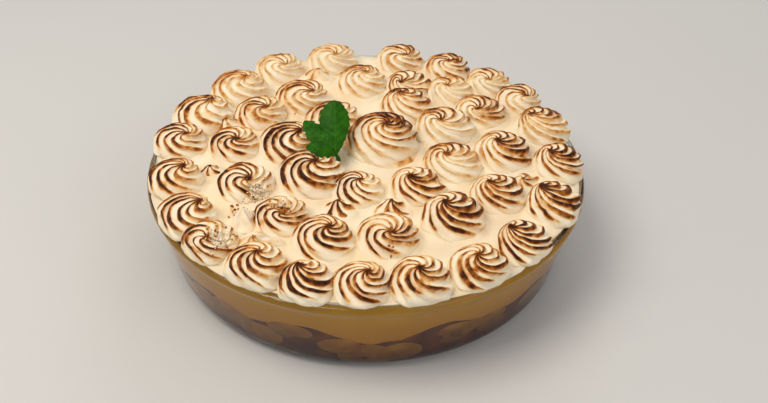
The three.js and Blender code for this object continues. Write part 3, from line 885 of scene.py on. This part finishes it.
browned = draw_curve(add_node(tree, "ShaderNodeFloatCurve", {
    1: add_node(tree, MATH, {0: climb, 1: foot_shift}, operation="ADD", use_clamp=True)}), [
    (0, 0), (0.12, 0), (0.22, 0.3), (0.34, 0.95), (1, 1)])  # the foot stays pale
scorch = add_node(tree, "ShaderNodeTexNoise", {"Vector": placed, "Scale": 1 / scorch_size, "Detail": 2.0})
scorch_share = add_node(tree, "ShaderNodeMapRange", {0: scorch, 1: 0.54, 2: 0.7, 3: 0.0, 4: 0.4})
toast_level = add_node(tree, MATH, {0: side_toast, 1: scorch_share}, operation="MAXIMUM")
for factor in (browned, flare_share, bias, given["Heat"]):
    toast_level = add_node(tree, MATH, {0: toast_level, 1: factor}, operation="MULTIPLY")
tip_toast = add_node(tree, "ShaderNodeMapRange", {0: climb, 1: 0.84, 2: 0.95, 3: 0.0, 4: 0.75})
toast_level = add_node(tree, MATH, {
    0: tip_toast, 1: given["Heat"], 2: toast_level}, operation="MULTIPLY_ADD")
whole = add_node(tree, MATH, {0: 1.0, 1: broken}, operation="SUBTRACT")
toast_level = add_node(tree, MATH, {0: toast_level, 1: whole}, operation="MULTIPLY", use_clamp=True)
print("nodes so far:", len(tree.nodes))

# %% [markdown]
# ### Bending the grid and closing it
# The grid's own UV map is stored first, because it unwraps a rosette without a cut. Browning and breakage
# are stored as attributes, the points move to their places, and Merge by Distance sews the grid's two ends
# together and its top edge into the tip.

# %% Bending the grid and closing it
unwrap = add_node(tree, "GeometryNodeStoreNamedAttribute", {
    "Geometry": grid, "Name": "OFBake", "Value": grid.outputs["UV Map"]},
    data_type="FLOAT2", domain="CORNER")
browned_grid = add_node(tree, "GeometryNodeStoreNamedAttribute", {
    "Geometry": unwrap, "Name": "toast", "Value": toast_level}, data_type="FLOAT", domain="POINT")
broken_grid = add_node(tree, "GeometryNodeStoreNamedAttribute", {
    "Geometry": browned_grid, "Name": "broken", "Value": broken}, data_type="FLOAT", domain="POINT")
bent = add_node(tree, "GeometryNodeSetPosition", {"Geometry": broken_grid, "Position": surface_point})
closed = add_node(tree, "GeometryNodeMergeByDistance", {"Geometry": bent, "Distance": 0.01 * MM})
smooth = add_node(tree, "GeometryNodeSetShadeSmooth", {"Geometry": closed})
real = add_node(tree, "GeometryNodeRealizeInstances", {"Geometry": smooth})
finished = add_node(tree, "GeometryNodeSetMaterial", {"Geometry": real, "Material": given["Finish"]})
add_node(tree, "NodeGroupOutput", {"Geometry": finished})
print("rosette tree:", len(tree.nodes), "nodes")


# %% [markdown]
# ## Piping all the rosettes
# A tree's result lives in a modifier, and the piece that leaves this notebook has to be a plain mesh. So
# each rosette is made on an empty carrier, its inputs are set by their identifiers, the evaluated mesh is
# copied out and the carrier goes, with its modifier. The frame says where a rosette stands and how large it
# is. How its tip leans and how brown it is was judged, and is listed here by the nodes' numbers.

# %% Running a tree with its inputs
def grown(name, tree, values):
    """A new object whose mesh is what the tree makes with these inputs."""
    carrier = bpy.data.objects.new(name + "_carrier", bpy.data.meshes.new(name + "_carrier"))
    bpy.context.scene.collection.objects.link(carrier)
    modifier = carrier.modifiers.new("tree", "NODES")
    modifier.node_group = tree
    for item in tree.interface.items_tree:
        if item.in_out == "INPUT" and item.name in values:
            modifier[item.identifier] = values[item.name]
    graph = bpy.context.evaluated_depsgraph_get()
    mesh = bpy.data.meshes.new_from_object(
        carrier.evaluated_get(graph), preserve_all_data_layers=True, depsgraph=graph)
    mesh.name = name
    bpy.data.objects.remove(carrier)
    piece = bpy.data.objects.new(name, mesh)
    bpy.context.scene.collection.objects.link(piece)
    return piece


# %% How each rosette leans and how far it is browned
looks = {  # (lean of the tip to +X and to +Y in mm, heat), in the order of the nodes' numbers
    "rosette_outer": [
        (-6.6, 1, 1.1), (-9, 1, 0.8), (4.7, -7.6, 0.75), (-0.7, -8.5, 0.55), (1.4, -3.9, 0.95),
        (4, -8.5, 0.7), (2, -9, 0.45), (4.5, -8.5, 0.5), (6.5, 1.4, 0.55), (6.7, 5.7, 0.8),
        (6.5, -4.8, 1.0), (5.6, 2.7, 1.0), (8.5, 4, 1.05), (0, -7.6, 1.05), (1.4, 1.8, 0.95),
        (-4.2, 6.9, 1.15), (3.3, 2.1, 0.95), (-1.1, 0, 0.95), (-1.4, 0.5, 0.9), (-8.4, 4.4, 1.15),
        (-8.5, 7, 1.1)],
    "rosette_middle": [
        (-3.8, 0.7, 1.0), (-2.5, -9, 0.75), (-3.6, -5, 0.5), (-7, -8, 0.8), (3.3, 0.5, 0.6),
        (7.6, -5.9, 0.75), (4.3, -5.3, 0.8), (2.3, -6.2, 1.0), (3.3, -7.2, 1.05), (2.2, -6.9, 0.95),
        (3.7, 0, 1.1), (2.5, -8.3, 0.85), (-5, 2.2, 1.15), (-5.6, 1.4, 0.9)],
    "rosette_inner": [
        (-4.6, 4.6, 0.85), (-4.4, -6.6, 0.65), (-4.3, -2.7, 0.7), (-5.3, -0.4, 0.9),
        (1.2, 1.2, 1.05), (2.7, -0.6, 1.15), (7.8, 1.2, 1.1), (0.8, 1.4, 0.8)],
    "rosette_centre": [(2.3, -2.7, 1.05)],
    "dab": [
        (0, 1, 1.3), (0, 2, 0.7), (0, 2, 1.1), (0, 2, 0.8),
        (0, 2, 0.6), (-3.5, -4, 0.8), (-3, 0, 0.4), (0, 2, 1.1)],
}
browner_sides = {  # (bearing in degrees of the side that got more heat, how much more)
    "rosette_outer_2": (60, 0.4), "rosette_outer_3": (90, 0.4), "rosette_outer_4": (90, 0.5),
    "rosette_outer_16": (270, 0.5), "rosette_middle_1": (350, 0.4), "rosette_middle_3": (90, 0.5),
    "rosette_middle_8": (190, 0.4), "rosette_inner_2": (90, 0.4), "rosette_inner_3": (90, 0.4),
    "rosette_inner_5": (190, 0.4), "rosette_inner_7": (190, 0.4),
}
broken_spots = {  # (place of the broken crust and its radius, in mm)
    "rosette_middle_9": ((-57, -43, 64), 11.5), "rosette_middle_10": ((-45, -56, 65), 7),
    "rosette_outer_14": ((-73, -85, 66), 9.5),
}
unbroken = ((0, 0, -1000), 1)  # far from any meringue
print("looks for", sum(len(entries) for entries in looks.values()), "piped pieces")

# %% The rosettes
golden_angle = math.radians(137.5)  # so that no two neighbours start their ridges at the same bearing
seed_step, usual_bias, bias_lift = 3.7, 0.3, 0.08
shapes = {  # kind: foot's radius over the frame's, peak, ridges, their depth, twist in degrees
    "dab": (1.3, 1.0, 5, 0.14, 70),
    "rosette_centre": (0.92, 0.0, 8, 0.15, 260),
}
for i, (name, (place, radius)) in enumerate(piped.items()):
    kind, number = name.rsplit("_", 1)
    lean_x, lean_y, heat = looks[kind][int(number) - 1]
    outer_side = math.degrees(math.atan2(place.y, place.x))  # away from the pie's middle
    side, bias = browner_sides.get(name, (outer_side, usual_bias))
    broken_place, broken_size = broken_spots.get(name, unbroken)
    fullness, peak, ridges, depth, twist = shapes.get(kind, (1.03, 0.0, 8, 0.15, 165 + 12 * (i % 4)))
    rosette = grown("piped_" + name.removeprefix("rosette_"), rosette_tree, {
        "Place": place, "Radius": radius * fullness,
        "Height": radius * rise_over_radius / (1.0 if kind == "rosette_centre" else foot_spread),
        "Peak": peak, "Ridges": ridges, "Ridge Depth": depth,
        "Twist": math.radians(twist), "Turn": i * golden_angle,
        "Lean": Vector((lean_x, lean_y, 0)) * MM, "Seed": seed_step * i,
        "Heat": heat, "Heat Side": math.radians(side), "Heat Bias": bias + bias_lift,
        "Broken Place": Vector(broken_place) * MM, "Broken Size": broken_size * MM, "Finish": meringue,
    })
    stand_for(rosette, "toasted_meringue", name)
print("rosette faces:", len(rosette.data.polygons), "for each of", len(piped))

# %% The fold that the centre rosette stands on
place, radius = piped["rosette_centre_1"]
broken_place, broken_size = unbroken
fold = grown("piped_centre_fold", rosette_tree, {
    "Place": place, "Radius": radius * 1.03, "Height": 6 * MM, "Peak": 0.0,
    "Ridges": 3, "Ridge Depth": 0.08, "Twist": math.radians(60), "Turn": math.radians(200),
    "Lean": Vector((0, 0, 0)), "Seed": 1.5, "Heat": 0.4, "Heat Side": math.radians(270),
    "Heat Bias": usual_bias, "Broken Place": Vector(broken_place) * MM, "Broken Size": broken_size * MM,
    "Finish": meringue,
})
stand_for(fold, "toasted_meringue", "rosette_centre_1")
print(fold.name, len(fold.data.polygons), "faces")

# %% [markdown]
# ## Crumbs and a bare blob
# At the lower left the crust was knocked: three rosettes are broken open, dark and pale crumbs lie on them
# and on the bed, and a blob of foam there was never browned. A few more crumbs lie at the front. They are
# too many to place by hand, so a small tree scatters them on whichever piece it is given, inside a round
# patch, each with its own size, turn and browning. A second tree holds one such group for every patch and
# joins them, because crumbs are one kind of thing and make one piece.

# %% The crumb tree
crumb_tree = bpy.data.node_groups.new("scattered_crumbs", "GeometryNodeTree")
crumb_inputs = {
    "Surface": "Object", "Patch Place": "Vector", "Patch Radius": "Float", "Spacing": "Float",
    "Smallest": "Float", "Largest": "Float", "Dark Share": "Float", "Seed": "Int", "Finish": "Material",
}
for name, kind in crumb_inputs.items():
    crumb_tree.interface.new_socket(name, in_out="INPUT", socket_type="NodeSocket" + kind)
crumb_tree.interface.new_socket("Geometry", in_out="OUTPUT", socket_type="NodeSocketGeometry")
tree = crumb_tree
given = add_node(tree, "NodeGroupInput").outputs
struck = add_node(tree, "GeometryNodeObjectInfo", {"Object": given["Surface"]}).outputs["Geometry"]
position = add_node(tree, "GeometryNodeInputPosition")
flat = add_node(tree, VECTOR_MATH, {0: position, 1: (1, 1, 0)}, operation="MULTIPLY")
apart = add_node(tree, VECTOR_MATH, {0: flat, 1: given["Patch Place"]}, operation="DISTANCE")
inside = add_node(tree, MATH, {
    0: apart.outputs["Value"], 1: given["Patch Radius"]}, operation="LESS_THAN")
facing = add_node(tree, "ShaderNodeSeparateXYZ", {0: add_node(tree, "GeometryNodeInputNormal")})
upwards = add_node(tree, MATH, {0: facing.outputs["Z"], 1: 0.35}, operation="GREATER_THAN")
lying = add_node(tree, MATH, {0: inside, 1: upwards}, operation="MULTIPLY")
scattered = add_node(tree, "GeometryNodeDistributePointsOnFaces", {
    "Mesh": struck, "Selection": lying, "Distance Min": given["Spacing"], "Density Max": 1e6,
    "Seed": given["Seed"]}, distribute_method="POISSON")
turned = add_node(tree, "FunctionNodeRandomValue", {
    "Min": (0, 0, 0), "Max": (TURN, TURN, TURN), "Seed": 1}, data_type="FLOAT_VECTOR")
lopsided = add_node(tree, "FunctionNodeRandomValue", {
    "Min": (0.6, 0.6, 0.6), "Max": (1.3, 1.3, 1.3), "Seed": 2}, data_type="FLOAT_VECTOR")
crumb_size = add_node(tree, "FunctionNodeRandomValue", {
    2: given["Smallest"], 3: given["Largest"], "Seed": 3}, data_type="FLOAT").outputs[1]
crumb = add_node(tree, "GeometryNodeMeshIcoSphere", {"Radius": 0.55, "Subdivisions": 1})
dented = add_node(tree, "GeometryNodeSetPosition", {
    "Geometry": crumb, "Offset": add_node(tree, VECTOR_MATH, {0: add_node(tree, VECTOR_MATH, {
        0: add_node(tree, "ShaderNodeTexNoise", {"Scale": 1.7}).outputs["Color"], 1: middle_grey},
        operation="SUBTRACT"), "Scale": 0.9}, operation="SCALE")})
placed_crumbs = add_node(tree, "GeometryNodeInstanceOnPoints", {
    "Points": scattered, "Instance": dented, "Rotation": turned,
    "Scale": add_node(tree, VECTOR_MATH, {0: lopsided, "Scale": crumb_size}, operation="SCALE")})
draw = add_node(tree, "FunctionNodeRandomValue", {2: 0.0, 3: 1.0, "Seed": 4}, data_type="FLOAT").outputs[1]
is_dark = add_node(tree, MATH, {0: draw, 1: given["Dark Share"]}, operation="LESS_THAN")
browning = add_node(tree, MATH, {0: is_dark, 1: 0.45, 2: add_node(
    tree, MATH, {0: draw, 1: 0.27}, operation="MULTIPLY")}, operation="MULTIPLY_ADD")
browned_crumbs = add_node(tree, "GeometryNodeStoreNamedAttribute", {
    "Geometry": placed_crumbs, "Name": "toast", "Value": browning}, data_type="FLOAT", domain="INSTANCE")
real = add_node(tree, "GeometryNodeRealizeInstances", {"Geometry": browned_crumbs})
add_node(tree, "NodeGroupOutput", {
    "Geometry": add_node(tree, "GeometryNodeSetMaterial", {"Geometry": real, "Material": given["Finish"]})})
print("crumb tree:", len(tree.nodes), "nodes")

# %% The patches of crumbs, joined into one piece
patches = [  # (piece they lie on, place and radius, spacing, smallest and largest in mm, dark share)
    ("piped_middle_9", (-56, -43), 11.5, 1.25, 0.6, 1.4, 0.38),
    ("piped_middle_10", (-46, -56), 7.5, 1.2, 0.6, 1.4, 0.5),
    ("piped_middle_10", (-42, -63), 3.4, 1.5, 1.4, 2.4, 0.95),
    ("piped_outer_14", (-73, -85), 10.5, 1.6, 0.6, 1.6, 0.22),
    ("meringue_bed_spread", (-70, -51), 5.5, 1.6, 0.7, 2.4, 0.75),
    ("meringue_bed_spread", (-59, -56), 6.5, 2.4, 0.6, 1.8, 0.5),
    ("piped_middle_12", (15.2, -77.8), 2.0, 1.2, 1.0, 1.8, 0.9),
    ("piped_middle_12", (15.8, -87), 2.4, 1.4, 1.0, 2.0, 0.9),
]
first_seed = 11
patch_tree = bpy.data.node_groups.new("crumb_patches", "GeometryNodeTree")
patch_tree.interface.new_socket("Finish", in_out="INPUT", socket_type="NodeSocketMaterial")
patch_tree.interface.new_socket("Geometry", in_out="OUTPUT", socket_type="NodeSocketGeometry")
tree = patch_tree
given = add_node(tree, "NodeGroupInput").outputs
all_patches = add_node(tree, "GeometryNodeJoinGeometry")
for i, (under, place, radius, spacing, smallest, largest, dark_share) in enumerate(patches):
    patch = add_node(tree, "GeometryNodeGroup", {
        "Surface": bpy.data.objects[under], "Patch Place": Vector((*place, 0)) * MM,
        "Patch Radius": radius * MM, "Spacing": spacing * MM, "Smallest": smallest * MM,
        "Largest": largest * MM, "Dark Share": dark_share, "Seed": first_seed + i,
        "Finish": given["Finish"]}, node_tree=crumb_tree)
    tree.links.new(patch.outputs[0], all_patches.inputs[0])
real = add_node(tree, "GeometryNodeRealizeInstances", {"Geometry": all_patches})
add_node(tree, "NodeGroupOutput", {
    "Geometry": add_node(tree, "GeometryNodeSetMaterial", {"Geometry": real, "Material": given["Finish"]})})
crumbs = grown("meringue_crumbs", patch_tree, {"Finish": meringue})
stand_for(crumbs, "toasted_meringue",
          "meringue_bed", "rosette_middle_9", "rosette_middle_10", "rosette_middle_12", "rosette_outer_14")
print(crumbs.name, len(crumbs.data.polygons), "faces")

# %% The bare blob
blob_place = Vector((-64, -61.5, 0)) * MM + Vector((0, 0, bed_top))
blob = grown("bare_foam_blob", rosette_tree, {
    "Place": blob_place, "Radius": 9 * MM,
    "Height": 10 * MM, "Peak": 0.5, "Ridges": 4, "Ridge Depth": 0.36,
    "Twist": math.radians(30), "Turn": math.radians(40), "Lean": Vector((-1, 1, 0)) * MM, "Seed": 2.5,
    "Heat": 0.0, "Heat Side": 0.0, "Heat Bias": 0.0,
    "Broken Place": Vector(broken_place) * MM, "Broken Size": broken_size * MM, "Finish": meringue,
})
stand_for(blob, "meringue", "meringue_bed")
print(blob.name, len(blob.data.polygons), "faces")

# %% [markdown]
# ## The sprig
# A sprig of mint stands to the left of the centre rosette: one broad leaf, upright on a short stalk, and
# two small ones to its left. A leaf is thin and toothed, its halves slope away from the midrib, and the
# tissue puffs up between the side veins. It could be drawn flat and bent with modifiers, but the teeth, the
# veins and the puffs share one measure along the leaf. So each leaf is bent from a fine grid by those
# rules, and a Solidify modifier gives it its thickness.

# %% One leaf
def leaf_points(base, tip, width, facing, blunt, teeth, tooth_depth, steps_along=56, steps_across=28):
    """Points and vein strengths of a leaf from base to tip, its face turned towards facing."""
    rib_width, puff_height, wave_height = 0.45 * MM, 0.3 * MM, 0.6 * MM
    side_veins = 7
    along = tip - base
    length = along.length
    forward = along.normalized()
    across = facing.cross(forward).normalized()
    outwards = forward.cross(across)
    points, veins = [], []
    for i in range(steps_along + 1):
        share = i / steps_along
        plump = math.sin(math.pi * share ** blunt) ** 0.55 if 0 < share < 1 else 0.0
        tooth = (share * teeth) % 1.0
        half_width = width / 2 * plump * (1 - tooth_depth * tooth)
        for j in range(steps_across + 1):
            side = 2 * j / steps_across - 1
            rib = math.exp(-(side * width / 2 * plump / rib_width) ** 2)
            side_vein = (share * side_veins - abs(side) * 1.3) % 1.0
            vein = math.exp(-((side_vein - 0.5) / 0.13) ** 2) * (1 - abs(side)) ** 0.5 * 0.7
            puff = puff_height * math.sin(math.pi * ((side_vein + 0.5) % 1.0)) * (1 - abs(side) ** 2)
            arch = 0.07 * length * math.sin(math.pi * share)
            lift = arch - 0.16 * abs(side) * half_width + puff - 0.35 * MM * rib
            edge_wave = wave_height * abs(side) ** 3 * math.sin(9 * share + side)
            spine = base + forward * share * length
            points.append(spine + across * side * half_width + outwards * (lift + edge_wave))
            veins.append(max(rib, vein))
    faces = []
    row = steps_across + 1
    for i in range(steps_along):
        for j in range(steps_across):
            a = i * row + j
            faces.append((a, a + 1, a + row + 1, a + row))
    return points, veins, faces


# %% The three leaves
leaves = [  # base and tip above the bed, width, what it faces, how blunt, teeth and how deep they are
    ((-17.8, -8, 9.5), (-19.8, 15.5, 31.5), 18.5, (0, -0.7, 0.7), 1.35, 8, 0.13),
    ((-19.5, -7.5, 12.5), (-37, 8.5, 21), 13, (0, -0.7, 0.7), 0.95, 5, 0.28),
    ((-18, -10, 11.5), (-34, -13.8, 18.5), 12.5, (0, -0.3, 0.95), 0.95, 5, 0.28),
]
sprig_points, sprig_veins, sprig_faces = [], [], []
for base, tip, width, facing, *edge in leaves:
    start = Vector(base) * MM + Vector((0, 0, bed_top))
    end = Vector(tip) * MM + Vector((0, 0, bed_top))
    points, veins, faces = leaf_points(start, end, width * MM, Vector(facing), *edge)
    offset = len(sprig_points)
    sprig_points += points
    sprig_veins += veins
    sprig_faces += [tuple(offset + k for k in face) for face in faces]
print("leaves:", len(leaves), "of", len(faces), "faces each")

# %% The stalk
stalk_line = [  # in mm above the bed, from the foot into the broad leaf, where it becomes the midrib
    (-16, -3.5, 0.3), (-16.6, -4.6, 5), (-17.5, -7, 9), (-17.8, -8, 10.5), (-18.3, -4, 15.5)]
stalk_width, stalk_sides = [2.2, 2.1, 1.9, 1.4, 0.5], 10
stalk_start = len(sprig_points)
for (x, y, z), width in zip(stalk_line, stalk_width):
    for k in range(stalk_sides):
        angle = TURN * k / stalk_sides
        rim = Vector((math.cos(angle), math.sin(angle), 0)) * width / 2
        sprig_points.append((Vector((x, y, z)) + rim) * MM + Vector((0, 0, bed_top)))
        sprig_veins.append(0.6)
for row in range(len(stalk_line) - 1):
    for k in range(stalk_sides):
        ring = stalk_start + row * stalk_sides
        a, b = ring + k, ring + (k + 1) % stalk_sides
        sprig_faces.append((a, b, b + stalk_sides, a + stalk_sides))
print("stalk:", len(sprig_points) - stalk_start, "points")

# %% The sprig as one piece
leaf_mesh = bpy.data.meshes.new("mint_leaves")
leaf_mesh.from_pydata([tuple(p) for p in sprig_points], [], sprig_faces)
leaf_mesh.attributes.new("vein", "FLOAT", "POINT").data.foreach_set("value", sprig_veins)
leaf_mesh.shade_smooth()
leaf_mesh.materials.append(leaf_green)
mint = bpy.data.objects.new("mint_leaves", leaf_mesh)
bpy.context.scene.collection.objects.link(mint)
leaf_thickness = 0.45 * MM
thickness = mint.modifiers.new("leaf_thickness", "SOLIDIFY")
thickness.thickness = leaf_thickness
thickness.offset = 0.0
stand_for(mint, "mint_leaf", "mint_sprig")
print("sprig:", len(sprig_faces), "faces")
